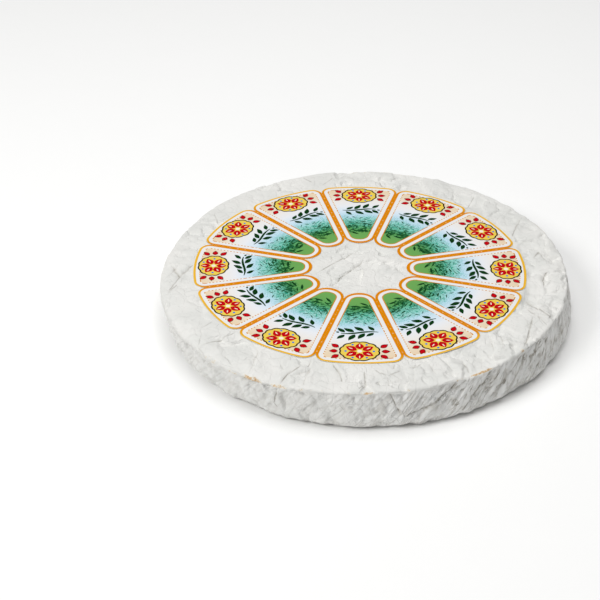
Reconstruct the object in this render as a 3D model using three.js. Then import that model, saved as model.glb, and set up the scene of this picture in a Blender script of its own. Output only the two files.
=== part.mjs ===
// A whole brie wheel in its white rind, with twelve wedge-shaped paper labels in a ring on its top.
// Millimetres, +Z up. The origin is on the flat base, under the middle of the wheel.
import * as THREE from 'three';

// Driving dimensions, in millimetres
const wheelRadius = 170; // widest part of the side
const wheelHeight = 35; // base to the level of the labels
const widestHeight = 12.3; // where the side is widest
const footInset = 10; // how far the flat base lies inside the widest part
const rimRadius = 169.4; // top edge
const rimRound = 2.5; // crisp rounding of the top edge

// A ripe wheel isn't quite round. These are shares of the radius, by the second and third harmonic.
const ovalCos = -0.0104;
const ovalSin = 0.0129;
const lobeCos = 0.0037;
const lobeSin = -0.0014;

// The wheel has settled sideways a little, so its top lies off the middle of its base.
const leanX = -6.85;
const leanY = 2.98;
const leanPivot = 0.35; // share of the height that stays over the origin

// The ring of labels
const labelCount = 12;
const ringX = -7.2; // middle of the ring
const ringY = 4.5;
const ringTurn = 1; // degrees, anticlockwise, of the whole ring
const ringInner = 39; // radius that the labels' narrow ends reach in to
const ringOuter = 137.3;
const labelGap = 0.2; // between neighbours
const labelLift = 0.2; // clear height over the rind
const labelThickness = 0.5;
const narrowCorner = 13.4; // corner radii of a label
const wideCorner = 9.2;

// Folds in the rind's wrapping: long low creases, laid out along the top band and the side
const bedMargin = 2.5; // flat rind round the labels
const foldFade = 9; // length over which folds rise from the flat bed
const foldCount = 84;
const foldLength = [18, 52];
const foldHalfWidth = [7, 15];
const foldDepth = [0.25, 0.75];
const foldSlant = 0.62; // radians, how far most folds lean from the straight way down
const crossSlant = -1; // the other folds cross them at this lean
const slantSpread = 0.5;
const slantShare = 0.75; // share of the folds that lean the usual way
const valleyShare = 0.6; // share of the folds that sink rather than stand up
const bandReach = 30; // how far folds reach in over the top from the rim
const foldRise = [-1.3, 0.45]; // lowest and highest that folds together may lie
const middleShare = 0.5; // how strong the folds are inside the ring of labels
const foldSeed = 20;
const dents = [
  { degrees: 36, halfWidth: 13, depth: 1.6 },
  { degrees: 15, halfWidth: 9, depth: 1.1 },
  { degrees: -138, halfWidth: 10, depth: 0.9 },
];
const dentReach = 9; // how far a dent in the rim runs over the top and down the side

const segments = 144; // round the wheel
const footSteps = 4;
const sideSteps = 4;
const rimSteps = 3;
const baseRadii = [0, 90, 140]; // circles of corners on the flat base
const topRadii = [160, 153, 146, 139.5, 90, 34, 24, 12, 0]; // and on the top
const arcSteps = 3; // half the steps in each rounded corner of a label
const colours = { rind: '#e9e8e4', label: '#f2efe6' };

// A repeatable run of numbers between 0 and 1
function makeDraw(seed) {
  let state = seed >>> 0;
  return () => {
    state = (Math.imul(state, 1664525) + 1013904223) >>> 0;
    return state / 4294967296;
  };
}

function between(draw, [low, high]) {
  return low + (high - low) * draw();
}

function outlineScale(angle) {
  return 1 + ovalCos * Math.cos(2 * angle) + ovalSin * Math.sin(2 * angle)
    + lobeCos * Math.cos(3 * angle) + lobeSin * Math.sin(3 * angle);
}

// The section that is turned round the axis, from the middle of the base over the side to the
// middle of the top. Each station has its radius and height, its outward direction, and its place
// along the rind: 0 at the rim, negative down the side, positive over the top.
function makeSection() {
  const stations = baseRadii.map((radius) => ({ radius, height: 0, out: 0, up: -1 }));
  for (let step = 0; step <= footSteps; step += 1) {
    const turn = (step / footSteps) * Math.PI / 2;
    stations.push({
      radius: wheelRadius - footInset * (1 - Math.sin(turn)),
      height: widestHeight * (1 - Math.cos(turn)),
      out: Math.sin(turn),
      up: -Math.cos(turn),
    });
  }
  const sideTop = wheelHeight - rimRound;
  for (let step = 1; step <= sideSteps; step += 1) {
    const share = step / sideSteps;
    stations.push({
      radius: wheelRadius + (rimRadius - wheelRadius) * (1 - Math.cos(share * Math.PI / 2)),
      height: widestHeight + (sideTop - widestHeight) * share,
      out: 1,
      up: 0,
    });
  }
  for (let step = 1; step <= rimSteps; step += 1) {
    const turn = (step / rimSteps) * Math.PI / 2;
    stations.push({
      radius: rimRadius - rimRound * (1 - Math.cos(turn)),
      height: sideTop + rimRound * Math.sin(turn),
      out: Math.cos(turn),
      up: Math.sin(turn),
    });
  }
  for (const radius of topRadii) {
    stations.push({ radius, height: wheelHeight, out: 0, up: 1 });
  }
  for (const station of stations) {
    const onTop = station.height > sideTop;
    station.along = onTop ? rimRadius - station.radius : station.height - wheelHeight;
  }
  return stations;
}

// Each fold is a straight crease between two places on the unrolled rind.
function makeFolds() {
  const draw = makeDraw(foldSeed);
  const folds = [];
  const circumference = 2 * Math.PI * wheelRadius;
  for (let index = 0; index < foldCount; index += 1) {
    const around = circumference * (index + draw()) / foldCount;
    const along = between(draw, [-wheelHeight, bandReach]);
    const length = between(draw, foldLength);
    const lean = draw() < slantShare ? foldSlant : crossSlant;
    const slant = lean + slantSpread * (draw() - 0.5);
    folds.push({
      around,
      along,
      stepAround: Math.sin(slant) * length / 2,
      stepAlong: Math.cos(slant) * length / 2,
      halfWidth: between(draw, foldHalfWidth),
      depth: between(draw, foldDepth) * (draw() < valleyShare ? -1 : 1),
    });
  }
  return folds;
}

// How far a place on the unrolled rind lies from a fold's line, in shares of its half width
function foldShare(fold, around, along) {
  const circumference = 2 * Math.PI * wheelRadius;
  let across = around - fold.around;
  across -= circumference * Math.round(across / circumference);
  const down = along - fold.along;
  const lengthSquared = fold.stepAround ** 2 + fold.stepAlong ** 2;
  const place = (across * fold.stepAround + down * fold.stepAlong) / lengthSquared;
  const held = Math.max(-1, Math.min(1, place));
  const distance = Math.hypot(across - held * fold.stepAround, down - held * fold.stepAlong);
  return Math.max(0, 1 - distance / fold.halfWidth);
}

function dentDepth(angle, along) {
  let depth = 0;
  for (const dent of dents) {
    let turn = angle - THREE.MathUtils.degToRad(dent.degrees);
    turn -= 2 * Math.PI * Math.round(turn / (2 * Math.PI));
    const across = Math.abs(turn) * wheelRadius / dent.halfWidth;
    const down = Math.abs(along) / dentReach;
    depth += dent.depth * Math.max(0, 1 - across) * Math.max(0, 1 - down);
  }
  return depth;
}

// How freely the rind may rise and fall: not at all on the flat base or under the labels
function reliefShare(station, x, y) {
  if (station.up < -0.5) {
    return 0;
  }
  if (station.height < wheelHeight) {
    return THREE.MathUtils.smoothstep(station.height, 0, widestHeight);
  }
  const fromRing = Math.hypot(x - ringX, y - ringY);
  const bedOuter = ringOuter + bedMargin;
  const bedInner = ringInner - bedMargin;
  const outside = THREE.MathUtils.smoothstep(fromRing, bedOuter, bedOuter + foldFade);
  const inside = 1 - THREE.MathUtils.smoothstep(fromRing, bedInner - foldFade, bedInner);
  return Math.max(outside, middleShare * inside);
}

function makeWheel() {
  const stations = makeSection();
  const folds = makeFolds();
  const profile = stations.map((station) => new THREE.Vector2(station.radius, station.height));
  const geometry = new THREE.LatheGeometry(profile, segments);
  geometry.rotateX(Math.PI / 2);
  const position = geometry.getAttribute('position');
  for (let index = 0; index < position.count; index += 1) {
    const station = stations[index % stations.length];
    const step = Math.floor(index / stations.length) % segments;
    const angle = (step / segments) * 2 * Math.PI;
    const leanShare = station.height / wheelHeight - leanPivot;
    const radius = station.radius * outlineScale(angle);
    const x = radius * Math.cos(angle) + leanX * leanShare;
    const y = radius * Math.sin(angle) + leanY * leanShare;
    let rise = 0;
    for (const fold of folds) {
      rise += fold.depth * foldShare(fold, angle * wheelRadius, station.along);
    }
    rise = THREE.MathUtils.clamp(rise, foldRise[0], foldRise[1]) * reliefShare(station, x, y);
    if (station.up >= 0) {
      rise -= dentDepth(angle, station.along);
    }
    position.setXYZ(
      index,
      x + rise * station.out * Math.cos(angle),
      y + rise * station.out * Math.sin(angle),
      station.height + rise * station.up,
    );
  }
  geometry.computeVertexNormals();
  const material = new THREE.MeshStandardMaterial({ color: colours.rind, roughness: 0.72, metalness: 0 });
  const wheel = new THREE.Mesh(geometry, material);
  wheel.name = 'wheel';
  return wheel;
}

// A label's outline: a sector of the ring with rounded corners, its middle line along +X
function labelShape() {
  const halfAngle = Math.PI / labelCount;
  const edge = labelGap / 2;
  const wideReach = ringOuter - wideCorner;
  const wideTurn = halfAngle - Math.asin((wideCorner + edge) / wideReach);
  const narrowX = ringInner + narrowCorner;
  const narrowY = (narrowX * Math.sin(halfAngle) - narrowCorner - edge) / Math.cos(halfAngle);
  const side = halfAngle + Math.PI / 2; // outward direction of the label's left side
  const wideX = wideReach * Math.cos(wideTurn);
  const wideY = wideReach * Math.sin(wideTurn);
  const shape = new THREE.Shape();
  shape.absarc(narrowX, -narrowY, narrowCorner, Math.PI, 2 * Math.PI - side, false);
  shape.absarc(wideX, -wideY, wideCorner, -side, -wideTurn, false);
  shape.absarc(0, 0, ringOuter, -wideTurn, wideTurn, false);
  shape.absarc(wideX, wideY, wideCorner, wideTurn, side, false);
  shape.absarc(narrowX, narrowY, narrowCorner, side, Math.PI, false);
  return shape;
}

function makeLabel(index) {
  const settings = { depth: labelThickness, bevelEnabled: false, curveSegments: arcSteps };
  const geometry = new THREE.ExtrudeGeometry(labelShape(), settings);
  const material = new THREE.MeshStandardMaterial({ color: colours.label, roughness: 0.5, metalness: 0 });
  const label = new THREE.Mesh(geometry, material);
  label.name = `label_${String(index + 1).padStart(2, '0')}`;
  label.rotation.z = (index / labelCount) * 2 * Math.PI + THREE.MathUtils.degToRad(ringTurn);
  label.position.set(ringX, ringY, wheelHeight + labelLift);
  return label;
}

const brieWheel = new THREE.Group();
brieWheel.add(makeWheel());
for (let index = 0; index < labelCount; index += 1) {
  brieWheel.add(makeLabel(index));
}

export default brieWheel;
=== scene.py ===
# Brie wheel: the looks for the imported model. Metres, +Z up, the front of the wheel towards -Y.
import math
import random

import bmesh
import bpy
import numpy as np
from mathutils import Matrix, Quaternion, Vector, noise


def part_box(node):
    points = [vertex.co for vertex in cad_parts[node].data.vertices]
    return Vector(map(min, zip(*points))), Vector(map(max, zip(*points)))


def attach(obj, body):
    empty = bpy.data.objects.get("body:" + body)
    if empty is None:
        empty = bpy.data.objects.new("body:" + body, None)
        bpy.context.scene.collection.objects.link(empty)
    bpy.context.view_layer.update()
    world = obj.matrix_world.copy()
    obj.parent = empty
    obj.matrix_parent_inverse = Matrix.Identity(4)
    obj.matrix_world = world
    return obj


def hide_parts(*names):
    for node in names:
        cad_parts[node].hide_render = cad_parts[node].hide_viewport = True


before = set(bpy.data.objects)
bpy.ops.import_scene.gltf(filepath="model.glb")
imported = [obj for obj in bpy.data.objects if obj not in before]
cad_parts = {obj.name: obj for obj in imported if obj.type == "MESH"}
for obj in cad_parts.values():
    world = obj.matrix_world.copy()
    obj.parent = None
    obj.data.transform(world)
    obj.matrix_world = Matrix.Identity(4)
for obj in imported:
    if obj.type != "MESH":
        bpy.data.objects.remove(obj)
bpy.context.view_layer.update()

mm = 0.001


def linearColour(code):
    # a web colour as the linear values that the shaders work in
    shares = [int(code[start:start + 2], 16) / 255 for start in (1, 3, 5)]
    return [s / 12.92 if s <= 0.04045 else ((s + 0.055) / 1.055) ** 2.4 for s in shares] + [1.0]


def placed(name, data):
    # a new object at the origin, linked to the scene
    thing = bpy.data.objects.new(name, data)
    bpy.context.scene.collection.objects.link(thing)
    return thing


def facingTurn(place, aim):
    # the turn that makes a camera or lamp look from its place to its aim
    return (Vector(aim) - Vector(place)).to_track_quat("-Z", "Y")


# Camera, from the photograph's own perspective
print("camera")
camera = {
    "place": (-0.00074, -1.08425, 0.71391), "aim": (-0.05537, -0.01949, 0.0175),
    "lens": 92.858, "sensor": 36, "roll": -0.384, "clip": (0.05, 20),
}


def makeCamera():
    data = bpy.data.cameras.new("viewCamera")
    data.sensor_width = camera["sensor"]
    data.lens = camera["lens"]
    data.clip_start, data.clip_end = camera["clip"]
    viewer = placed("viewCamera", data)
    roll = Quaternion((0, 0, 1), math.radians(camera["roll"]))
    turned = facingTurn(camera["place"], camera["aim"]) @ roll
    viewer.matrix_world = Matrix.Translation(camera["place"]) @ turned.to_matrix().to_4x4()
    bpy.context.scene.camera = viewer


makeCamera()


# Small helpers for node trees
def addNode(tree, kind, settings=None, **inputs):
    node = tree.nodes.new(kind)
    for name, value in (settings or {}).items():
        setattr(node, name, value)
    for name, value in inputs.items():
        socket = node.inputs[int(name[1:])] if name[0] == "i" and name[1:].isdigit() else node.inputs[name]
        if isinstance(value, bpy.types.NodeSocket):
            tree.links.new(value, socket)
        else:
            socket.default_value = value
    return node


def newMaterial(name, roughness, specular):
    material = bpy.data.materials.new(name)
    material.use_nodes = True
    tree = material.node_tree
    shader = tree.nodes["Principled BSDF"]
    shader.inputs["Roughness"].default_value = roughness
    shader.inputs["Specular IOR Level"].default_value = specular
    return material, tree, shader


def math2(tree, operation, first, second=0.0):
    return addNode(tree, "ShaderNodeMath", {"operation": operation}, i0=first, i1=second).outputs[0]


def times(tree, first, *others):
    for other in others:
        first = math2(tree, "MULTIPLY", first, other)
    return first


def vectorMath(tree, operation, first, second):
    node = addNode(tree, "ShaderNodeVectorMath", {"operation": operation}, i0=first, i1=second)
    return node.outputs[0]


def noiseTexture(tree, place, scale, detail, **more):
    node = addNode(tree, "ShaderNodeTexNoise", Vector=place, Scale=scale, Detail=detail, **more)
    return node.outputs[0]


def mapped(tree, value, low, high, toLow=0.0, toHigh=1.0, smooth=True):
    settings = {"interpolation_type": "SMOOTHSTEP" if smooth else "LINEAR"}
    node = addNode(tree, "ShaderNodeMapRange", settings, i0=value, i1=low, i2=high, i3=toLow, i4=toHigh)
    return node.outputs[0]


def mixed(tree, share, first, second, blend="MIX"):
    # each of the two colours comes from a node or is a web colour
    first, second = [linearColour(part) if isinstance(part, str) else part for part in (first, second)]
    settings = {"data_type": "RGBA", "blend_type": blend}
    return addNode(tree, "ShaderNodeMix", settings, i0=share, i6=first, i7=second).outputs[2]


def surfaced(tree, shader, rough, height, strength, distance):
    # the roughness and the fine relief of a finish
    tree.links.new(rough, shader.inputs["Roughness"])
    bump = addNode(tree, "ShaderNodeBump", Height=height, Strength=strength, Distance=distance)
    tree.links.new(bump.outputs[0], shader.inputs["Normal"])


# Fine grain of paper and rind, shared by every finish: a shade round 1 and a height from 0 to 1
def makeGrainGroup():
    group = bpy.data.node_groups.new("surfaceGrain", "ShaderNodeTree")
    for name, value in (("Scale", 900.0), ("Patch Scale", 40.0), ("Strength", 0.03)):
        socket = group.interface.new_socket(name=name, in_out="INPUT", socket_type="NodeSocketFloat")
        socket.default_value = value
    for name in ("Shade", "Height", "Patch"):
        group.interface.new_socket(name=name, in_out="OUTPUT", socket_type="NodeSocketFloat")
    given = group.nodes.new("NodeGroupInput")
    made = group.nodes.new("NodeGroupOutput")
    place = addNode(group, "ShaderNodeTexCoord").outputs["Object"]
    fine = noiseTexture(group, place, given.outputs[0], 3.0)
    patch = noiseTexture(group, place, given.outputs[1], 2.0)
    centred = math2(group, "SUBTRACT", math2(group, "ADD", fine, patch), 1.0)
    shade = math2(group, "ADD", times(group, centred, given.outputs[2]), 1.0)
    for result, socket in zip((shade, fine, patch), made.inputs):
        group.links.new(result, socket)
    return group


grainGroup = makeGrainGroup()


def grain(tree, scale, patchScale, strength):
    node = tree.nodes.new("ShaderNodeGroup")
    node.node_tree = grainGroup
    for name, value in (("Scale", scale), ("Patch Scale", patchScale), ("Strength", strength)):
        node.inputs[name].default_value = value
    return node


# The rind: one closed skin for the whole wheel, turned from its section and then creased
print("rind")
rind = {
    "radius": 170.0, "height": 35.0, "widestHeight": 12.3, "footInset": 10.0,
    "rimRadius": 169.4, "rimRound": 2.2,
    "oval": (-0.0104, 0.0129), "lobes": (0.0037, -0.0014),
    "lean": (-6.85, 2.98), "leanPivot": 0.35,
    # the net of faces: steps round the wheel, parts of a step, and the rings from the axis outward
    "steps": 90, "parts": 12, "centreSteps": 60, "centreParts": 4, "footSteps": 10, "rimSteps": 4,
    "grain": 1.0, "sideGrain": 1.15, "baseInner": 130.0, "bandInner": 128.0,
    "plainRings": (100.0, 70.0), "centreOuter": 49.0, "centreJoin": 3.0,
    # the level of the creased skin against the plain wheel, the highest it may rise, and the lowest
    "topLevel": -0.35, "sideLevel": -1.0, "sideLimit": -0.32, "topExtra": 0.85, "lowest": -3.0,
    "rimCalm": 0.55, "rimCalmWide": 4, "dentReach": 9,
    # how much the foot bulges in long and short waves, how far inward, and how the rim runs
    "footWave": 1.5, "footRipple": 1.8, "footInward": 0.6, "rimWave": (0.7, 0.3), "rimWaveWide": 7,
    # the soft rim on the left: how far in and down it curves, and its middle and ends in degrees
    "softWide": 13.0, "softDeep": 4.5, "softShare": 0.9, "softMiddle": -154.0, "softEnds": (30, 64),
    # directions that are most creased: degrees, and the cosines between which they fade in
    "rightFront": (-32, 0.3, 0.95), "rightBand": (-8, 0.8, 0.97),
    # how patterns lean on the side, and how far they are drawn out along the folds
    "patternLean": 0.95, "leaningLength": 0.45, "streakLength": 0.34, "plainMiddle": (60, 110),
    "seed": 20,
}
ring = {"x": -7.2, "y": 4.5, "turn": 1.0, "inner": 39.0, "outer": 137.3, "count": 12}

# Creases that stand out on the top, as places in mm from the axis, with half width and depth
topCreases = [
    ([(-48, -9), (-42, -6), (-13, 29), (-6, 38)], 1.1, 0.8),
    ([(-36, -28), (-28, -20), (-19, -5), (-8, 9), (-2, 22)], 1.0, 0.7),
    ([(9, 37), (-3, 27)], 1.4, 0.3),
    ([(27, 10), (23, -11)], 1.5, 0.25),
    ([(-130, -113), (-115, -106), (-102, -94), (-95, -90)], 1.2, 0.7),
    ([(-131, -86), (-128, -98), (-130, -112), (-118, -130), (-104, -140)], 1.3, 0.5),
    ([(-86, -109), (-83, -118), (-85, -129), (-85, -137), (-89, -147)], 1.5, 0.6),
    ([(-108, -123), (-102, -135)], 1.6, 0.35),
    ([(-67, -128), (-62, -141)], 1.3, 0.45),
    ([(-41, -125), (-44, -138)], 1.2, 0.8),
    ([(-48, -135), (-58, -145), (-64, -157)], 1.2, 0.95),
    ([(-41, -137), (-46, -153), (-46, -161)], 1.5, 0.5),
    ([(-53, -146), (-41, -141)], 1.2, 0.45),
    ([(-27, -130), (-19, -145), (-17, -159)], 1.2, 0.7),
    ([(-23, -137), (-18, -149)], 1.1, 0.4),
    ([(-1, -142), (0, -161)], 1.7, 0.7),
    ([(-6, -165), (0, -158)], 1.2, 0.6),
    ([(22, -131), (21, -138)], 1.1, 0.7),
    ([(16, -148), (6, -140)], 1.1, 0.65),
    ([(16, -148), (27, -139)], 1.1, 0.65),
    ([(16, -148), (7, -158)], 1.1, 0.55),
    ([(16, -148), (18, -160)], 1.1, 0.6),
    ([(18, -145), (27, -153)], 1.3, 0.4),
    ([(33, -136), (43, -130)], 1.4, 0.7),
    ([(47, -130), (54, -146)], 1.7, 0.5),
    ([(59, -121), (64, -136)], 1.5, 0.4),
    ([(72, -120), (78, -140)], 1.4, 0.6),
    ([(88, -115), (87, -133)], 1.4, 0.35),
    ([(96, -88), (97, -113)], 1.6, 0.4),
    ([(103, -80), (105, -101), (102, -114)], 1.6, 0.4),
    ([(131, -60), (126, -85), (121, -104), (119, -112)], 1.3, 0.8),
    ([(125, -33), (132, -47), (143, -61), (150, -68)], 2.4, 0.8),
    ([(125, -51), (135, -65), (142, -77)], 2.0, 0.5),
    ([(143, -20), (143, -7), (145, 1), (150, 5)], 1.4, 0.8),
    ([(144, 40), (138, 26)], 1.4, 0.8),
    ([(143, 37), (148, 21)], 1.8, 0.6),
    ([(134, 95), (126, 73), (121, 53)], 1.6, 0.7),
    ([(95, 135), (84, 104)], 1.5, 0.6),
    ([(-136, 90), (-131, 74)], 1.4, 0.6),
    ([(-43, 143), (-33, 159)], 1.6, 0.7),
    ([(-25, 156), (-15, 144)], 1.6, 0.6),
    ([(9, 157), (12, 146)], 1.3, 0.6),
    ([(-62, 158), (-51, 147)], 1.5, 0.6),
    ([(-165, 7), (-155, -13), (-162, -40)], 1.5, 0.8),
    ([(-155, -13), (-144, 6)], 1.5, 0.9),
    ([(-162, -42), (-154, -24)], 1.5, 0.7),
    ([(-120, -76), (-130, -92)], 1.5, 0.5),
]

# Creases of the side, as degrees round the wheel and height in mm
sideCreases = [
    ([(-111.5, 33), (-111.8, 26), (-113, 16)], 1.1, 0.9),
    ([(-113.6, 18), (-112.2, 13)], 1.0, 0.6),
    ([(-82.7, 35), (-81.8, 23), (-80.8, 15)], 1.7, 0.8),
    ([(-74.5, 17), (-70.3, 21), (-67.9, 26), (-65.2, 30)], 1.3, 0.9),
    ([(-80.5, 12), (-73.7, 17), (-69, 21)], 1.3, 0.7),
    ([(-65.4, 28), (-61.7, 33)], 1.2, 0.9),
    ([(-61.7, 18), (-60.1, 17)], 0.9, 1.0),
    ([(-60.8, 17), (-62, 11)], 0.9, 1.0),
    ([(-66.4, 14), (-64.7, 15.5)], 0.9, 0.9),
    ([(-30.8, 31), (-34.6, 27), (-38.3, 25), (-39.8, 16)], 1.2, 0.8),
    ([(-36.2, 21), (-39.2, 16)], 1.0, 1.0),
    ([(-42.5, 30), (-44.7, 25), (-49, 20)], 1.2, 0.9),
    ([(-29.4, 29), (-33, 16)], 1.2, 0.7),
    ([(-51.2, 29), (-55, 20)], 1.2, 0.8),
]

# Dents in the rim: degrees, half width, depth in mm
rimDents = [(36, 13, 1.3), (15, 9, 0.6), (-138, 10, 0.9), (31, 6, 0.8), (64, 9, 0.6), (-96, 11, 0.5)]

# Stretches of the rim where the white is worn off: from and to in degrees, and how much
rimWear = [
    (-135, -129, 0.4), (-126, -122, 0.55), (-121, -115, 0.9), (-113, -108.5, 0.85), (-106, -103, 0.55),
    (-94, -92, 0.75), (-90, -86, 0.85), (-79, -77, 0.6), (-66, -62, 0.5), (-61, -53, 0.9), (-43, -41, 0.8),
    (22, 30, 0.5), (76, 95, 0.6), (130, 141, 0.5), (168, 179, 0.5),
]


def sectionPoints():
    # from the middle of the base, round the foot, side and rim, to the start of the middle of the top
    high, wide, widest = rind["height"], rind["radius"], rind["widestHeight"]
    points = [(0.0, 0.0), (rind["baseInner"], 0.0)]
    for step in range(rind["footSteps"] + 1):
        turn = step / rind["footSteps"] * math.pi / 2
        points.append((wide - rind["footInset"] * (1 - math.sin(turn)), widest * (1 - math.cos(turn))))
    sideTop = high - rind["rimRound"]
    sideSteps = round((sideTop - widest) / rind["sideGrain"])
    for step in range(1, sideSteps + 1):
        share = step / sideSteps
        reach = wide + (rind["rimRadius"] - wide) * (1 - math.cos(share * math.pi / 2))
        points.append((reach, widest + (sideTop - widest) * share))
    for step in range(1, rind["rimSteps"] + 1):
        turn = step / rind["rimSteps"] * math.pi / 2
        reach = rind["rimRadius"] - rind["rimRound"] * (1 - math.cos(turn))
        points.append((reach, sideTop + rind["rimRound"] * math.sin(turn)))
    outer, inner = points[-1][0], rind["bandInner"]
    bandSteps = round((outer - inner) / rind["grain"])
    reaches = [outer + (inner - outer) * k / bandSteps for k in range(1, bandSteps + 1)]
    reaches += [*rind["plainRings"], rind["centreOuter"] + rind["centreJoin"]]
    return points + [(reach, high) for reach in reaches]


def spunSection(points, steps, parts):
    # turns a line of places round the axis, then cuts each step into finer parts on the true circle
    mesh = bmesh.new()
    corners = [mesh.verts.new((r * mm, 0, z * mm)) for r, z in points]
    edges = [mesh.edges.new(pair) for pair in zip(corners, corners[1:])]
    bmesh.ops.spin(
        mesh, geom=corners + edges, cent=(0, 0, 0), axis=(0, 0, 1), angle=2 * math.pi,
        steps=steps, use_merge=True, use_duplicate=False,
    )
    bmesh.ops.remove_doubles(mesh, verts=mesh.verts, dist=0.002 * mm)
    rings = [edge for edge in mesh.edges if liesRound(*edge.verts)]
    bmesh.ops.subdivide_edges(mesh, edges=rings, cuts=parts - 1, use_grid_fill=True)
    stepTurn = 2 * math.pi / steps
    for corner in mesh.verts:
        reach = math.hypot(corner.co.x, corner.co.y)
        angle = math.atan2(corner.co.y, corner.co.x) % stepTurn
        true = reach * math.cos(angle - stepTurn / 2) / math.cos(stepTurn / 2)
        if reach > 0:
            corner.co.xy *= true / reach
    return mesh


def liesRound(first, second):
    # whether both ends of an edge lie on one circle round the axis
    reach = math.hypot(first.co.x, first.co.y)
    other = math.hypot(second.co.x, second.co.y)
    return abs(first.co.z - second.co.z) < 1e-7 and abs(reach - other) < 1e-6


def openRing(mesh, reach):
    near = reach * mm
    return [edge for edge in mesh.edges if edge.is_boundary
            and abs(math.hypot(*edge.verts[0].co.xy) - near) < 0.01 * mm]


def turnedWheel():
    mesh = spunSection(sectionPoints(), rind["steps"], rind["parts"])
    outer = rind["centreOuter"]
    count = round(outer / rind["grain"])
    points = [(outer * (1 - k / count), rind["height"]) for k in range(count + 1)]
    middle = spunSection(points, rind["centreSteps"], rind["centreParts"])
    carried = bpy.data.meshes.new("wheelMiddle")
    middle.to_mesh(carried)
    middle.free()
    mesh.from_mesh(carried)
    bpy.data.meshes.remove(carried)
    openEdges = openRing(mesh, outer) + openRing(mesh, outer + rind["centreJoin"])
    bmesh.ops.bridge_loops(mesh, edges=openEdges)
    bmesh.ops.recalc_face_normals(mesh, faces=mesh.faces)
    return mesh


def smooth01(values, low, high):
    share = np.clip((values - low) / (high - low), 0, 1)
    return share * share * (3 - 2 * share)


def drawAt(cells, salt):
    # a repeatable number from 0 to 1 for each whole-number cell, its bits stirred by large primes
    code = (cells * np.array([73856093, 19349663, 83492791])).sum(-1) + salt * 2654435761
    for shift, factor in ((13, 1274126177), (11, 668265263)):
        code = (code ^ (code >> shift)) * factor & 0x7FFFFFFF
    return (code ^ (code >> 15)) / 0x7FFFFFFF


def noiseAt(places):
    # smooth noise, from about -1 to 1
    low = np.floor(places)
    part = places - low
    low = low.astype(np.int64)
    ease = part ** 3 * (part * (part * 6 - 15) + 10)
    total = np.zeros(len(places))
    for corner in np.ndindex(2, 2, 2):
        cell = low + corner
        away = part - corner
        slope = sum((drawAt(cell, salt) - 0.5) * away[:, salt] for salt in range(3))
        weight = np.prod(np.where(corner, ease, 1 - ease), axis=1)
        total += slope * weight
    return total * 2.6


def crumpledAt(places, tilt, dome):
    # facets that lean at random and meet in sharp valleys: their height, and how near a valley is
    low = np.floor(places).astype(np.int64)
    best = np.full(len(places), -1e9)
    second = best.copy()
    for shift in np.ndindex(3, 3, 3):
        cell = low + shift - 1
        away = places - cell - np.stack([drawAt(cell, salt) for salt in (11, 12, 13)], 1)
        lean = np.stack([drawAt(cell, salt) for salt in (21, 22, 23)], 1) * 2 - 1
        value = tilt * (lean * away).sum(1) - dome * (away ** 2).sum(1)
        second = np.maximum(second, np.minimum(best, value))
        best = np.maximum(best, value)
    return best, best - second


def softlyUnder(values, limit):
    # values held under a limit: they bend over to it within a few tenths of a millimetre
    return limit - np.logaddexp(0, (limit - values) * 5 - 0.6) / 5


# The section across a crease, in half widths: the ridge's place and width, and the slope's reach
crease = {"ends": 0.22, "sharp": 1.4, "ridgeAt": 2.6, "ridgeWide": 1.7, "slopeWide": 5}

# What a crease of each kind does: the shares of its ridge, groove and slope, how much painted shade its
# valley gets, and from what depth and how strongly it shows as a crack, in the bump and as a painted shade
# line
creaseKinds = {
    "fold": {"ridge": 0.45, "groove": 1.0, "slope": 0.25, "valley": 0.7, "crackFrom": 0.3, "crack": 1.0},
    "top": {"ridge": 0.95, "groove": 0.8, "slope": 0.3, "valley": 1.0, "crackFrom": 0.0, "crack": 1.0},
    "side": {"ridge": 0.5, "groove": 1.0, "slope": 0.3, "valley": 0.7, "crackFrom": 0.0, "crack": 1.5},
}


def creaseAt(x, y, points, halfWidth):
    # a groove along a broken line, a soft ridge on its left and a wide slope round both, then the
    # distance to the line, below 0 on its right, and how strongly the line shows: less at its ends
    best = np.full(len(x), 1e9)
    signed = np.zeros(len(x))
    share = np.zeros(len(x))
    spine = np.array(points, float)
    lengths = np.hypot(*np.diff(spine, axis=0).T)
    total = lengths.sum()
    for k, length in enumerate(lengths):
        first = spine[k]
        way = (spine[k + 1] - first) / length
        held = np.clip((x - first[0]) * way[0] + (y - first[1]) * way[1], 0, length)
        dx = x - first[0] - held * way[0]
        dy = y - first[1] - held * way[1]
        distance = np.hypot(dx, dy)
        closer = distance < best
        best = np.where(closer, distance, best)
        signed = np.where(closer, np.where(way[0] * dy - way[1] * dx > 0, distance, -distance), signed)
        share = np.where(closer, (lengths[:k].sum() + held) / total, share)
    ends = smooth01(share, -0.02, crease["ends"]) * smooth01(1 - share, -0.02, crease["ends"])
    groove = np.exp(-(best / halfWidth) ** crease["sharp"]) * ends
    offRidge = signed - crease["ridgeAt"] * halfWidth
    ridge = np.exp(-(offRidge / (crease["ridgeWide"] * halfWidth)) ** 2) * ends
    slope = np.exp(-np.abs(signed) / (crease["slopeWide"] * halfWidth)) * ends
    return groove, ridge, slope, signed, ends


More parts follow.
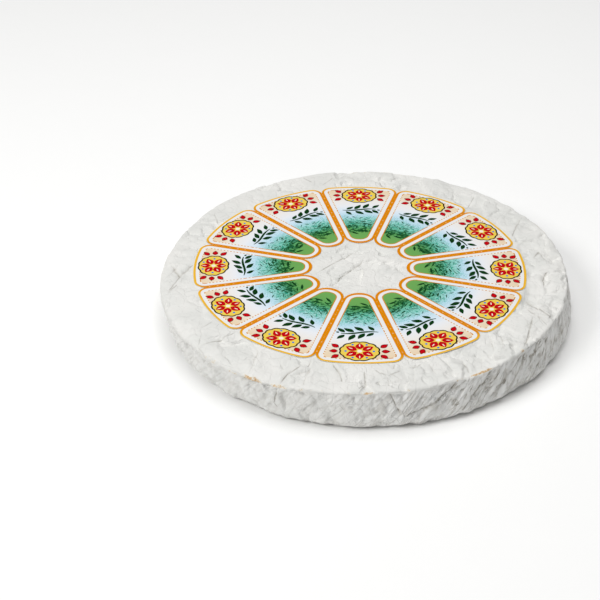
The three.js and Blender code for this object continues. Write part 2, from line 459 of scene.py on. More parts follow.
class Relief:
    # what all creases add up to at each corner: the rise over the plain wheel, how deep it lies in a
    # valley for the painted fold shade, and the distance to the nearest crack with its side, so a crack
    # stays sharp between corners, in its bump and in its painted shade line
    def __init__(self, rise):
        self.rise = rise
        self.valley = np.zeros(len(rise))
        self.crackSide = np.full(len(rise), 9.0)
        self.crackShow = np.zeros(len(rise))

    def addCrumple(self, at, size, lean, dome, groove, share, shown):
        height, gap = crumpledAt(at / size, lean, dome)
        self.rise += (height - height.mean()) * size * share
        line = np.exp(-(gap * size / 0.22) ** 0.8) * shown * share
        self.rise -= groove * line
        self.valley += groove * line * 0.8

    def addCrease(self, at, points, halfWidth, depth, kind, where=1.0):
        groove, ridge, slope, signed, ends = creaseAt(*at, points, halfWidth)
        section = kind["ridge"] * ridge - kind["groove"] * groove - kind["slope"] * slope
        self.rise += depth * section * where
        self.valley += depth * groove * kind["valley"] * where
        strength = (depth - kind["crackFrom"]) * kind["crack"] * where * ends
        closer = (np.abs(signed) < np.abs(self.crackSide)) & (strength > 0.02)
        self.crackSide = np.where(closer, signed, self.crackSide)
        self.crackShow = np.where(closer, strength, self.crackShow)

    def crackNear(self):
        return self.crackShow * (1 - smooth01(np.abs(self.crackSide), 1.2, 2.4))


class RindPlaces:
    # where each corner of the turned wheel lies on the unrolled rind, in mm
    def __init__(self, rest):
        x, y, z = (rest / mm).T
        self.angle = np.arctan2(y, x)
        self.reach = np.hypot(x, y)
        self.z = z
        sideTop = rind["height"] - rind["rimRound"]
        self.onTop = z > sideTop + 1e-3
        self.onBase = (z < 1e-4) & (self.reach < rind["radius"] - rind["footInset"] + 1e-3)
        self.along = np.where(self.onTop, rind["rimRadius"] - self.reach, z - rind["height"])
        foot = np.clip(1 - z / rind["widestHeight"], 0, 1)
        turn = np.clip((self.reach - (rind["rimRadius"] - rind["rimRound"])) / rind["rimRound"], 0, 1)
        self.up = np.where(self.onTop, np.sqrt(1 - turn ** 2), -foot)
        self.out = np.sqrt(np.clip(1 - self.up ** 2, 0, 1))
        scale = (
            1 + rind["oval"][0] * np.cos(2 * self.angle) + rind["oval"][1] * np.sin(2 * self.angle)
            + rind["lobes"][0] * np.cos(3 * self.angle) + rind["lobes"][1] * np.sin(3 * self.angle)
        )
        leanShare = z / rind["height"] - rind["leanPivot"]
        self.x = self.reach * scale * np.cos(self.angle) + rind["lean"][0] * leanShare
        self.y = self.reach * scale * np.sin(self.angle) + rind["lean"][1] * leanShare
        self.fromRing = np.hypot(self.x - ring["x"], self.y - ring["y"])
        # place in space on a plain drum, and the same sheared, so that patterns lean on the side
        drum = np.where(self.onTop, self.reach, rind["radius"])
        down = np.minimum(self.along, 0)
        self.flat = np.stack([drum * np.cos(self.angle), drum * np.sin(self.angle), down], 1)
        turned = self.angle - rind["patternLean"] * down / rind["radius"]
        leaning = down * rind["leaningLength"]
        self.leaning = np.stack([drum * np.cos(turned), drum * np.sin(turned), leaning], 1)
        # places drawn out along the folds: across the band, and slanting down the side
        even = rind["radius"]
        drawn = self.along * rind["streakLength"]
        self.streak = np.stack([even * np.cos(turned), even * np.sin(turned), drawn], 1)
        inner = 1 - smooth01(self.reach, *rind["plainMiddle"])
        self.streak += (self.flat - self.streak) * (inner * self.onTop)[:, None]


def facingShare(places, degrees, low, high):
    # 1 where the wheel faces a direction, fading out to both sides
    return smooth01(np.cos(places.angle - math.radians(degrees)), low, high)


def turnFrom(places, degrees):
    # the signed angle of each corner from a direction, in radians
    return (places.angle - math.radians(degrees) + math.pi) % (2 * math.pi) - math.pi


def roundNoise(places, scale, shift):
    # noise that runs round the wheel, the same at every height
    around = np.stack([np.cos(places.angle), np.sin(places.angle), 0 * places.angle], 1)
    return noiseAt(around * scale + shift)


# Folds that run over the rim and lean the same way nearly everywhere. Lengths are in mm, the leans in
# radians from straight down, and a pair is the lowest and highest that is drawn.
folds = {
    "count": 120, "start": (-34, 28), "length": (10, 34), "halfWidth": (1.0, 2.4), "depth": (0.15, 0.55),
    "lean": 0.62, "otherLean": -0.9, "leanShare": 0.7, "leanSpread": 0.4, "bend": 0.2,
}

# Short slits slanting down the side, most of them on the right-hand front: degrees and mm
slits = {
    "count": 120, "front": (-68, 4), "rest": (4, 292), "frontShare": 0.72, "high": (7, 31),
    "run": (3.0, 9.0), "lean": (0.25, 0.6), "halfWidth": (0.5, 0.9), "depth": (0.25, 0.85),
}


def drawnFold(draw, index, whole):
    middle = whole * (index + draw.random()) / folds["count"] - whole / 2
    start = draw.uniform(*folds["start"])
    length = draw.uniform(*folds["length"])
    slant = folds["lean"] if draw.random() < folds["leanShare"] else folds["otherLean"]
    slant += draw.uniform(-folds["leanSpread"], folds["leanSpread"])
    halfWidth = draw.uniform(*folds["halfWidth"])
    depth = draw.uniform(*folds["depth"])
    bend = draw.uniform(-folds["bend"], folds["bend"]) * length
    across, down = math.sin(slant) * length / 2, math.cos(slant) * length / 2
    ends = [(middle - across, start - down), (middle + across, start + down)]
    return middle, [ends[0], (middle + bend, start), ends[1]], halfWidth, depth


def drawnSlit(draw):
    turn = draw.uniform(*slits["front" if draw.random() < slits["frontShare"] else "rest"])
    high = draw.uniform(*slits["high"])
    run, lean = draw.uniform(*slits["run"]), draw.uniform(*slits["lean"])
    ends = [(turn, high), (turn + run * lean, min(high + run, rind["height"]))]
    return ends, draw.uniform(*slits["halfWidth"]), draw.uniform(*slits["depth"])


def foldedRind(places):
    # the relief over the plain wheel
    flat = places.flat
    side = smooth01(-places.along, -1.5, 3)
    band = 1 - side
    rightFront = facingShare(places, *rind["rightFront"])
    rightBand = band * facingShare(places, *rind["rightBand"])
    wobble = np.stack([noiseAt(flat / 13 + shift) for shift in (7, 19, 31)], 1)
    waver = [0.7 * wobble[:, k] + 0.35 * noiseAt(flat / 4.5 + 60 * k + 5) for k in (0, 1)]
    patches = 0.25 + 0.75 * smooth01(noiseAt(flat / 31 + 50), -0.15, 0.3)
    spots = smooth01(noiseAt(flat / 27 + 90), 0.0, 0.35)
    strip = band * (0.6 * smooth01(noiseAt(flat / 38 + 70), -0.25, 0.15) + 1.1 * rightFront)
    relief = Relief(0.5 * noiseAt(flat / 42) + 0.9 * noiseAt(flat / 19 + 3) * side)
    layers = [
        # places, cell size, lean, dome, groove, share
        (flat + wobble * 4 + 110, 11.0, 0.26, 0.10, 0.30, rightBand),
        (places.streak + wobble * 2.5, 9.0, 0.20, 0.08, 0.30, strip),
        (flat + wobble * 5, 26.0, 0.17, 0.05, 0.40, band),
        (flat + wobble * 3, 12.0, 0.17, 0.07, 0.28, band * patches),
        (flat + wobble * 1.5 + 20, 6.0, 0.16, 0.08, 0.16, band * spots),
        (flat + wobble * 4, 16.0, 0.26, 0.22, 0.40, side * (1 - 0.35 * rightFront)),
        (flat + wobble * 3 + 60, 8.0, 0.50, 0.32, 0.40, side * (1.1 - 0.7 * rightFront)),
        (flat + wobble * 1.5 + 80, 4.4, 0.56, 0.34, 0.30, side * (1.0 - 0.6 * rightFront)),
        (places.leaning + wobble * 2.5, 9.0, 0.30, 0.18, 0.45, side * (0.3 + 0.9 * rightFront)),
        (places.leaning + wobble * 1.5 + 40, 4.6, 0.48, 0.24, 0.45, side * (0.2 + 1.2 * rightFront)),
    ]
    for layer in layers:
        relief.addCrumple(*layer, smooth01(noiseAt(flat / 21 + layer[1]), -0.05, 0.3))

    draw = random.Random(rind["seed"])
    around = places.angle * rind["radius"]
    whole = 2 * math.pi * rind["radius"]
    for index in range(folds["count"]):
        middle, points, halfWidth, depth = drawnFold(draw, index, whole)
        near = around - whole * np.round((around - middle) / whole)
        relief.addCrease((near, places.along), points, halfWidth, depth, creaseKinds["fold"])
    at = (places.x + waver[0], places.y + waver[1])
    for points, halfWidth, depth in topCreases:
        relief.addCrease(at, points, halfWidth * 0.8, depth, creaseKinds["top"], places.onTop)
    at = (around + waver[0], places.along + waver[1])
    for points, halfWidth, depth in sideCreases + [drawnSlit(draw) for _ in range(slits["count"])]:
        unrolled = [(math.radians(turn) * rind["radius"], high - rind["height"]) for turn, high in points]
        relief.addCrease(at, unrolled, halfWidth, depth, creaseKinds["side"], side)
    return relief


def dentedRim(places):
    depth = np.zeros(len(places.angle))
    for degrees, halfWidth, deep in rimDents:
        across = np.clip(1 - np.abs(turnFrom(places, degrees)) * rind["radius"] / halfWidth, 0, 1)
        down = np.clip(1 - np.abs(places.along) / rind["dentReach"], 0, 1)
        depth += deep * across * down
    return depth


def creaseShare(places):
    # full on the band and side, gentler in the middle of the ring, none under the labels
    outside = smooth01(places.fromRing, ring["outer"] - 2, ring["outer"] + 5)
    inside = 0.95 * (1 - smooth01(places.fromRing, ring["inner"] - 7, ring["inner"] + 1))
    top = np.maximum(outside, inside)
    side = smooth01(places.z, 0.0, 3.5)
    return np.where(places.onTop, top, side) * ~places.onBase


def footWave(places):
    # the foot bulges out and in a little all round, and the flat base with it
    wave = rind["footWave"] * roundNoise(places, 9, 4) + rind["footRipple"] * roundNoise(places, 20, 8)
    side = 1 - smooth01(places.z, 1.0, 11.0)
    base = smooth01(places.reach, 131, 158)
    return (wave - rind["footInward"]) * np.where(places.onTop, 0, side) * base


def rimWave(places):
    # the rim runs up and down a little
    long, short = rind["rimWave"]
    wave = long * roundNoise(places, 6, 30) + short * roundNoise(places, 14, 40) - 0.3
    return np.minimum(wave * np.exp(-(places.along / rind["rimWaveWide"]) ** 2), 0.3)


def sunkenRim(places):
    # on the left the top curves down to the rim in a wide round: how far each corner sinks
    wide, deep = rind["softWide"], rind["softDeep"]
    near, far = [math.radians(degrees) for degrees in rind["softEnds"]]
    turn = np.abs(turnFrom(places, rind["softMiddle"]))
    share = rind["softShare"] * (1 - smooth01(turn, near, far))
    inset = np.clip(1 - places.along / wide, 0, 1)
    over = deep * (1 - np.sqrt(1 - inset ** 2))
    under = np.clip(deep + places.along / 2, 0, deep)
    return np.where(places.onTop, over, under) * share


def wornRim(places):
    # a thin line along the rim, strongest on its worn stretches
    rim = np.exp(-np.abs((places.along - 0.2) / 2.3) ** 2.2)
    worn = np.full(len(rim), 0.15)
    for low, high, much in rimWear:
        half = (high - low) / 2
        turn = np.degrees(np.abs(turnFrom(places, (low + high) / 2)))
        worn = np.maximum(worn, much * (1 - smooth01(turn, half - 1.5, half + 1)))
    return rim * worn


def makeRind():
    turned = turnedWheel()
    mesh = bpy.data.meshes.new("rindSkin")
    turned.to_mesh(mesh)
    turned.free()
    rest = np.empty(len(mesh.vertices) * 3, np.float32)
    mesh.vertices.foreach_get("co", rest)
    places = RindPlaces(rest.reshape(-1, 3).astype(float))
    relief = foldedRind(places)
    wave = footWave(places)
    level = np.where(places.onTop, rind["topLevel"], rind["sideLevel"])
    limit = rind["topExtra"] * np.clip(places.up, 0, 1) + rind["sideLimit"]
    calm = 1 - rind["rimCalm"] * np.exp(-(places.along / rind["rimCalmWide"]) ** 2)
    share = creaseShare(places) * calm
    rise = np.maximum(softlyUnder(relief.rise + level, limit), rind["lowest"]) * share
    rise -= dentedRim(places) * (places.up >= 0)
    x = places.x + (rise * places.out + wave) * np.cos(places.angle)
    y = places.y + (rise * places.out + wave) * np.sin(places.angle)
    lift = rise * places.up + rimWave(places) - sunkenRim(places)
    z = np.where(places.onBase, 0.0, np.maximum(places.z + lift, 0.02))
    mesh.vertices.foreach_set("co", (np.stack([x, y, z], 1) * mm).astype(np.float32).ravel())
    rightFront = facingShare(places, *rind["rightFront"])
    corners = {
        # how deep each corner lies in a fold's valley, which the material paints as shade
        "foldShadeDepth": np.clip(relief.valley * share, 0, 1),
        "rimWear": wornRim(places),
        "sideShare": smooth01(-places.along, 0.5, 4) * (0.35 + 0.65 * rightFront),
        "crackSide": relief.crackSide,
        "crackNear": np.clip(relief.crackNear() * np.minimum(1, share * 1.4), 0, 1),
    }
    for name, values in corners.items():
        layer = mesh.attributes.new(name, "FLOAT", "POINT")
        layer.data.foreach_set("value", values.astype(np.float32))
    layer = mesh.attributes.new("streakPlace", "FLOAT_VECTOR", "POINT")
    layer.data.foreach_set("vector", (places.streak * mm).astype(np.float32).ravel())
    mesh.polygons.foreach_set("use_smooth", [True] * len(mesh.polygons))
    mesh.materials.append(rindMaterial())
    mesh.update()
    piece = placed("rindSkin", mesh)
    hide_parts("wheel")
    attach(piece, "root")


rindFinish = {
    # fold and crack are painted shade: the darker colours laid into fold valleys, side furrows and crack
    # lines
    "white": "#E7E6E2", "cool": "#DFDFDB", "pale": "#F3F3F1", "fold": "#A8A296", "crack": "#8B8577",
    "worn": "#DCB47C", "wornDark": "#B5854A", "halo": "#E4DAC4", "roughness": 0.62, "specular": 0.2,
    # sizes of the patterns, as cells or waves to a metre
    "wrinkle": 118.0, "fineWrinkle": 290.0, "ridge": 92.0, "streak": 190.0, "patches": 45.0,
    "breaks": 130.0, "speck": 390.0, "swirl": 170.0,
    # how high each pattern stands in the bump, and its strength and depth in all
    "wrinkleBump": 0.6, "fineBump": 0.22, "ridgeBump": -0.6, "streakBump": 0.35, "crackBump": -1.1,
    "bump": 0.7, "bumpDepth": 0.0006, "crackWidth": 0.6,
}


def named(tree, attribute):
    return addNode(tree, "ShaderNodeAttribute", {"attribute_name": attribute}).outputs["Fac"]


def bentPlace(tree, place, scale, amount):
    # places pushed about by noise, so that patterns lose their regularity
    push = addNode(tree, "ShaderNodeTexNoise", Vector=place, Scale=scale, Detail=2.0)
    centred = vectorMath(tree, "SUBTRACT", push.outputs["Color"], (0.5, 0.5, 0.5))
    sized = addNode(tree, "ShaderNodeVectorMath", {"operation": "SCALE"}, i0=centred, Scale=amount)
    return vectorMath(tree, "ADD", place, sized.outputs[0])


def wrinkled(tree, place, scale, width):
    # sharp valleys between flat cells: 0 in a valley, 1 on a cell
    cells = addNode(tree, "ShaderNodeTexVoronoi", {"feature": "DISTANCE_TO_EDGE"}, Vector=place, Scale=scale)
    return mapped(tree, cells.outputs["Distance"], 0.0, width)


def rindMaterial():
    look = rindFinish
    material, tree, shader = newMaterial("bloomyRind", look["roughness"], look["specular"])
    texture = grain(tree, 620.0, 38.0, 0.03)
    patch, height = texture.outputs["Patch"], texture.outputs["Height"]
    place = addNode(tree, "ShaderNodeTexCoord").outputs["Object"]
    bent = bentPlace(tree, place, 70.0, 0.014)
    patches = noiseTexture(tree, place, look["patches"], 1.0)
    coarse = wrinkled(tree, bent, look["wrinkle"], 0.10)
    fine = wrinkled(tree, bent, look["fineWrinkle"], 0.22)
    ridge = wrinkled(tree, vectorMath(tree, "ADD", bent, (0.31, 0.17, 0.23)), look["ridge"], 0.07)
    drawn = addNode(tree, "ShaderNodeAttribute", {"attribute_name": "streakPlace"}).outputs["Vector"]
    streak = wrinkled(tree, bentPlace(tree, drawn, 90.0, 0.006), look["streak"], 0.2)
    onSide = named(tree, "sideShare")
    coarseShare = times(tree, mapped(tree, patches, 0.40, 0.58), mapped(tree, onSide, 0.0, 1.0, 1.0, 1.9))
    ridgeShare = mapped(tree, patches, 0.36, 0.56, 1.0, 0.0)
    fineShare = mapped(tree, patch, 0.45, 0.60)
    streakShare = math2(tree, "ADD", mapped(tree, patch, 0.40, 0.58, 1.0, 0.15), times(tree, onSide, 3.0))

    # cracks are thin lines, broken up along their way; they go into the bump and into a painted shade line
    offCrack = math2(tree, "ABSOLUTE", named(tree, "crackSide"))
    nearCrack = mapped(tree, offCrack, 0.1, look["crackWidth"], 1.0, 0.0)
    broken = noiseTexture(tree, place, look["breaks"], 2.0)
    shown = mapped(tree, broken, 0.38, 0.60, 0.15, 1.0)
    crack = times(tree, nearCrack, named(tree, "crackNear"), shown)

    # white with cooler clouds, paler on the side, and painted shade that darkens the folds, cracks and
    # furrows
    colour = mixed(tree, mapped(tree, patch, 0.35, 0.65), look["white"], look["cool"])
    colour = mixed(tree, times(tree, onSide, 0.8), colour, look["pale"])
    # painted shade: darker where the skin lies deep in a fold's valley
    foldShade = mapped(tree, named(tree, "foldShadeDepth"), 0.25, 1.0, 0.0, 0.4)
    colour = mixed(tree, foldShade, colour, look["fold"])
    # painted shade: the crack lines darkened with the crack colour, more strongly on the side
    crackShadeShare = mapped(tree, onSide, 0.0, 1.0, 0.48, 0.95)
    colour = mixed(tree, times(tree, crack, crackShadeShare), colour, look["crack"])
    # painted shade: the furrows between the side's streaks darkened with the fold colour
    inFurrow = math2(tree, "SUBTRACT", 1.0, streak)
    furrowShade = times(tree, inFurrow, onSide, mapped(tree, broken, 0.40, 0.60, 0.12, 0.55))
    colour = mixed(tree, furrowShade, colour, look["fold"])
    colour = mixed(tree, 1.0, colour, texture.outputs["Shade"], "MULTIPLY")

    # specks along the rim where the white is worn off, each with a pale halo
    speck = noiseTexture(tree, place, look["speck"], 4.0, Roughness=0.7)
    worn = math2(tree, "ADD", speck, times(tree, named(tree, "rimWear"), 0.44))
    colour = mixed(tree, times(tree, mapped(tree, worn, 0.66, 0.80), 0.6), colour, look["halo"])
    brown = mixed(tree, mapped(tree, speck, 0.45, 0.65), look["worn"], look["wornDark"])
    colour = mixed(tree, times(tree, mapped(tree, worn, 0.78, 0.88), 0.8), colour, brown)
    tree.links.new(colour, shader.inputs["Base Color"])

    swirl = noiseTexture(tree, bent, look["swirl"], 3.0, Roughness=0.5)
    lift = math2(tree, "ADD", times(tree, height, 0.2), swirl)
    for pattern, share, amount in (
        (coarse, coarseShare, "wrinkleBump"), (fine, fineShare, "fineBump"), (ridge, ridgeShare, "ridgeBump"),
        (streak, streakShare, "streakBump"), (crack, 1.0, "crackBump"),
    ):
        lift = math2(tree, "ADD", lift, times(tree, pattern, share, look[amount]))
    rough = mapped(tree, height, 0.3, 0.7, 0.52, 0.74)
    surfaced(tree, shader, rough, lift, look["bump"], look["bumpDepth"])
    return material


makeRind()


# Labels: printed paper, each a sector of the ring. The print is drawn flat in mm, u to the right and
# v outward from the middle of the ring, as one net of faces with a material for each ink. It holds a
# badge at the wide end, a sprig below it, and a meadow of strokes towards the narrow end.
print("labels")
label = {
    "sideInset": 0.02, "wideCorner": 9.2, "narrowCorner": 13.4,
    "edgeSide": 2.15, "edgeNarrow": 2.9, "edgeWide": 1.95,
    "lineInset": 5.35, "lineWidth": 0.85, "lineNarrow": 0.4, "lineWide": -0.5,
    "dash": 1.45, "dashFrom": 88.0, "arcFrom": 128.0,
    # steps along an outline: its sides, half its wide arc, and its corners
    "sideSteps": 54, "arcSteps": 16, "narrowSteps": 8, "wideSteps": 10,
    "thickness": 0.16, "lift": 0.22, "curl": 0.16, "wave": 0.10, "ripple": 0.05, "bendStep": 4.5,
    "seed": 7,
}
badge = {
    "v": 121.0, "wide": 15.2, "tall": 12.6, "rim": 1.2, "lift": 0.06,
    "scallops": 12, "waves": 0.06, "steps": 144,
    # where a part starts, across and up from the middle, and its length and width
    "petals": 6, "petalFrom": (2.6, 2.5), "petal": (10.8, 6.6), "petalFlat": 2.4,
    "veinFrom": (6.0, 5.8), "vein": (4.0, 1.0), "dotAt": (10.8, 9.9), "eye": (1.9, 1.8),
    "leaves": ((0, 5.6), (40, 6.2), (-40, 6.2)), "leafWide": 4.0, "leafRim": 0.42,
}
sprig = {
    "v": 96.5, "half": 14.6, "sway": 1.5, "stem": 2.0, "pairs": 4,
    "leaf": 9.8, "leafWide": 4.5, "taper": 0.28, "lean": 54, "bend": -0.12,
}
meadow = {
    "from": 57.0, "to": 82.0, "tries": 170, "gap": 0.8,
    "length": (3.5, 9.5), "wide": (0.9, 2.0), "lean": 48, "bend": 0.32,
    "highFrom": 0.55, "highInks": ["tealInk", "deepInk", "deepInk"],
    "lowInks": ["deepInk", "leafInk", "deepInk"],
}
paper = {"roughness": 0.5, "specular": 0.03, "grain": (1500.0, 60.0, 0.03), "bump": 0.15, "bumpDepth": 0.0002}

inks = {
    "edgeInk": "#DB8600", "whiteInk": "#E7E8E9", "goldInk": "#D08516", "fieldInk": "#F0DEC3",
    "outlineInk": "#170A08", "yellowInk": "#EACD56", "redInk": "#BF0311", "creamInk": "#F3EBDA",
    "blueInk": "#1F74D6", "leafInk": "#07360F", "deepInk": "#0A401A", "tealInk": "#2E9A80",
    "paperBack": "#EDEBE6",
}
inkOrder = list(inks)


def inkMaterial(name):
    material, tree, shader = newMaterial(name, paper["roughness"], paper["specular"])
    texture = grain(tree, *paper["grain"])
    shader.inputs["Base Color"].default_value = linearColour(inks[name])
    rough = mapped(tree, texture.outputs["Patch"], 0.3, 0.7, 0.42, 0.56)
    surfaced(tree, shader, rough, texture.outputs["Height"], paper["bump"], paper["bumpDepth"])
    return material, tree, shader, texture


def ringReach(tree):
    # the place on the object, the place from the middle of the ring, and the distance from there, in metres
    place = addNode(tree, "ShaderNodeTexCoord").outputs["Object"]
    middle = (-ring["x"] * mm, -ring["y"] * mm, 0)
    centred = addNode(tree, "ShaderNodeMapping", Vector=place, Location=middle).outputs[0]
    flat = vectorMath(tree, "MULTIPLY", centred, (1, 1, 0))
    length = addNode(tree, "ShaderNodeVectorMath", {"operation": "LENGTH"}, i0=flat)
    return place, centred, length.outputs["Value"]


def rampColour(tree, value, stops):
    # stops are (reach in mm, web colour)
    low, high = stops[0][0], stops[-1][0]
    share = mapped(tree, value, low * mm, high * mm, smooth=False)
    ramp = addNode(tree, "ShaderNodeValToRGB", Fac=share)
    keys = ramp.color_ramp.elements
    while len(keys) < len(stops):
        keys.new(0.5)
    for key, (reach, code) in zip(keys, stops):
        key.position = (reach - low) / (high - low)
        key.color = linearColour(code)
    return ramp.outputs["Color"]


fieldStops = [
    (44, "#6FA858"), (56, "#6AA457"), (63, "#5CA25F"), (68, "#5DAE86"), (74, "#86CDBB"),
    (80, "#9FD6D0"), (86, "#BBDCEC"), (95, "#D6E5F1"), (103, "#E8EAEE"), (112, "#EBE7E2"),
    (121, "#E9D9C2"), (133, "#E6CFAE"),
]
edgeStops = [(38, "#DB8600"), (129, "#DB8600"), (134.6, "#E4A620"), (138, "#F2C545")]

# Marbled strokes, dark and dense low down and teal above: the noise's scale and shift, where they start
# and end from the middle of the ring, in metres, their half width and their colour
veins = [
    (330.0, 7.0, 0.066, 0.096, 0.030, "#5DB8AC"), (210.0, 3.0, 0.056, 0.074, 0.030, "#3C8A4C"),
    (105.0, 0.0, 0.0555, 0.080, 0.060, "#115025"), (190.0, 5.0, 0.060, 0.090, 0.024, "#11604A"),
]


def fieldMaterial():
    # the printed ground: grass, haze, sky, white and cream, from the narrow end to the wide end
    material, tree, shader, _ = inkMaterial("fieldInk")
    place, _, reach = ringReach(tree)
    wave = noiseTexture(tree, place, 85.0, 4.0, Roughness=0.65)
    shift = times(tree, math2(tree, "SUBTRACT", wave, 0.5), 0.016)
    low = mapped(tree, reach, 0.050, 0.060)
    high = mapped(tree, reach, 0.080, 0.100, 1.0, 0.15)
    shifted = math2(tree, "ADD", reach, times(tree, shift, times(tree, low, high)))
    colour = rampColour(tree, shifted, fieldStops)
    for scale, seed, start, end, wide, ink in veins:
        # thin lines where noise crosses its middle
        moved = vectorMath(tree, "ADD", place, (seed, seed, 0))
        vein = noiseTexture(tree, moved, scale, 2.5, Roughness=0.6, Distortion=1.3)
        off = math2(tree, "ABSOLUTE", math2(tree, "SUBTRACT", vein, 0.5))
        rising = mapped(tree, reach, start, start + 0.005)
        falling = mapped(tree, reach, end - 0.016, end, 1.0, 0.0)
        room = times(tree, rising, falling, wide)
        line = mapped(tree, math2(tree, "SUBTRACT", off, room), -0.007, 0.0, 1.0, 0.0)
        colour = mixed(tree, times(tree, line, 0.92), colour, ink)
    tree.links.new(colour, shader.inputs["Base Color"])
    return material


def edgeMaterial():
    # orange along the sides and narrow end, paler gold on the wide arc, and pale flecks where the
    # labels were torn apart along their joins
    material, tree, shader, texture = inkMaterial("edgeInk")
    _, centred, reach = ringReach(tree)
    colour = rampColour(tree, reach, edgeStops)
    parts = addNode(tree, "ShaderNodeSeparateXYZ", Vector=centred)
    angle = math2(tree, "ARCTAN2", parts.outputs[1], parts.outputs[0])
    step = 2 * math.pi / ring["count"]
    turns = math2(tree, "ADD", math2(tree, "DIVIDE", angle, step), 0.5 - math.radians(ring["turn"]) / step)
    offJoin = math2(tree, "ABSOLUTE", math2(tree, "SUBTRACT", turns, math2(tree, "ROUND", turns)))
    across = times(tree, offJoin, times(tree, reach, step))
    along = math2(tree, "FRACT", math2(tree, "DIVIDE", reach, 6.6 * mm))
    narrow = mapped(tree, across, 0.3 * mm, 0.6 * mm, 1.0, 0.0)
    short = mapped(tree, along, 0.14, 0.24, 1.0, 0.0)
    some = mapped(tree, texture.outputs["Patch"], 0.42, 0.56)
    colour = mixed(tree, times(tree, narrow, short, some, 0.6), colour, "#F1DCAE")
    tree.links.new(colour, shader.inputs["Base Color"])
    return material


def makeInks():
    special = {"fieldInk": fieldMaterial, "edgeInk": edgeMaterial}
    return [special[name]() if name in special else inkMaterial(name)[0] for name in inkOrder]


def labelOutline(side, narrow, wide):
    # the label's rounded sector, drawn in by the given insets, with the same corners every time
    halfAngle = math.pi / ring["count"]
    edge = label["sideInset"] + side
    wideCorner = label["wideCorner"] - side
    narrowCorner = label["narrowCorner"] - narrow
    outer = ring["outer"] - wide
    wideReach = outer - wideCorner
    wideTurn = halfAngle - math.asin((wideCorner + edge) / wideReach)
    narrowV = ring["inner"] + narrow + narrowCorner
    narrowU = (narrowV * math.sin(halfAngle) - narrowCorner - edge) / math.cos(halfAngle)
    wideU, wideV = wideReach * math.sin(wideTurn), wideReach * math.cos(wideTurn)

    def arc(cu, cv, radius, start, end, steps):
        turns = [start + (end - start) * k / steps for k in range(steps)]
        return [(cu + radius * math.cos(t), cv + radius * math.sin(t)) for t in turns]

    def line(start, end, steps):
        return [(start[0] + (end[0] - start[0]) * k / steps, start[1] + (end[1] - start[1]) * k / steps)
                for k in range(steps)]

    rightTurn = -halfAngle
    topTurn = math.pi / 2 - wideTurn
    lowRight = (narrowU + narrowCorner * math.cos(rightTurn), narrowV + narrowCorner * math.sin(rightTurn))
    highRight = (wideU + wideCorner * math.cos(rightTurn), wideV + wideCorner * math.sin(rightTurn))
    right = arc(narrowU, narrowV, narrowCorner, -math.pi / 2, rightTurn, label["narrowSteps"])
    right += line(lowRight, highRight, label["sideSteps"])
    right += arc(wideU, wideV, wideCorner, rightTurn, topTurn, label["wideSteps"])
    right += arc(0, 0, outer, topTurn, math.pi / 2, label["arcSteps"])
    left = [(-u, v) for u, v in reversed(right)]
    return right + [(0.0, outer)] + left


def wayOf(degrees):
    turn = math.radians(degrees)
    return math.cos(turn), math.sin(turn)


def leafShape(u, v, turn, length, wide, bend=0.0, points=7):
    # a pointed leaf or blade from (u, v), turned anticlockwise from the right by degrees
    left, right = [], []
    for k in range(1, points):
        t = k / points
        side = wide / 2 * math.sin(math.pi * t ** 0.85)
        curve = bend * length * math.sin(math.pi * t / 2) ** 2
        left.append((length * t, curve + side))
        right.append((length * t, curve - side))
    local = [(0.0, 0.0)] + right + [(length, bend * length)] + left[::-1]
    cos, sin = wayOf(turn)
    return [(u + a * cos - b * sin, v + a * sin + b * cos) for a, b in local]


def roundShape(u, v, wide, tall, points, lobes=0, deep=0.0):
    shape = []
    for k in range(points):
        t = 2 * math.pi * k / points
        size = 1 + deep * abs(math.sin(lobes * t / 2)) if lobes else 1
        shape.append((u + wide * size * math.cos(t), v + tall * size * math.sin(t)))
    return shape


def strokeShape(spine, wide):
    # a stem of even width that tapers at both ends
    left, right = [], []
    for k, (u, v) in enumerate(spine):
        before = spine[max(k - 1, 0)]
        after = spine[min(k + 1, len(spine) - 1)]
        way = Vector((after[0] - before[0], after[1] - before[1])).normalized()
        half = wide / 2 * min(1, 0.35 + 2.2 * min(k, len(spine) - 1 - k) / len(spine))
        left.append((u - way.y * half, v + way.x * half))
        right.append((u + way.y * half, v - way.x * half))
    return right + left[::-1]


def addOutlinedLeaf(shapes, ink, u, v, turn, length, wide, points):
    # a leaf with a dark edge round it
    cos, sin = wayOf(turn)
    rim = badge["leafRim"]
    edge = (u - cos * rim * 1.6, v - sin * rim * 1.6, turn, length + rim * 3.2, wide + rim * 2)
    shapes.append(("outlineInk", leafShape(*edge, 0.0, points), None))
    shapes.append((ink, leafShape(u, v, turn, length, wide, 0.0, points), len(shapes) - 1))


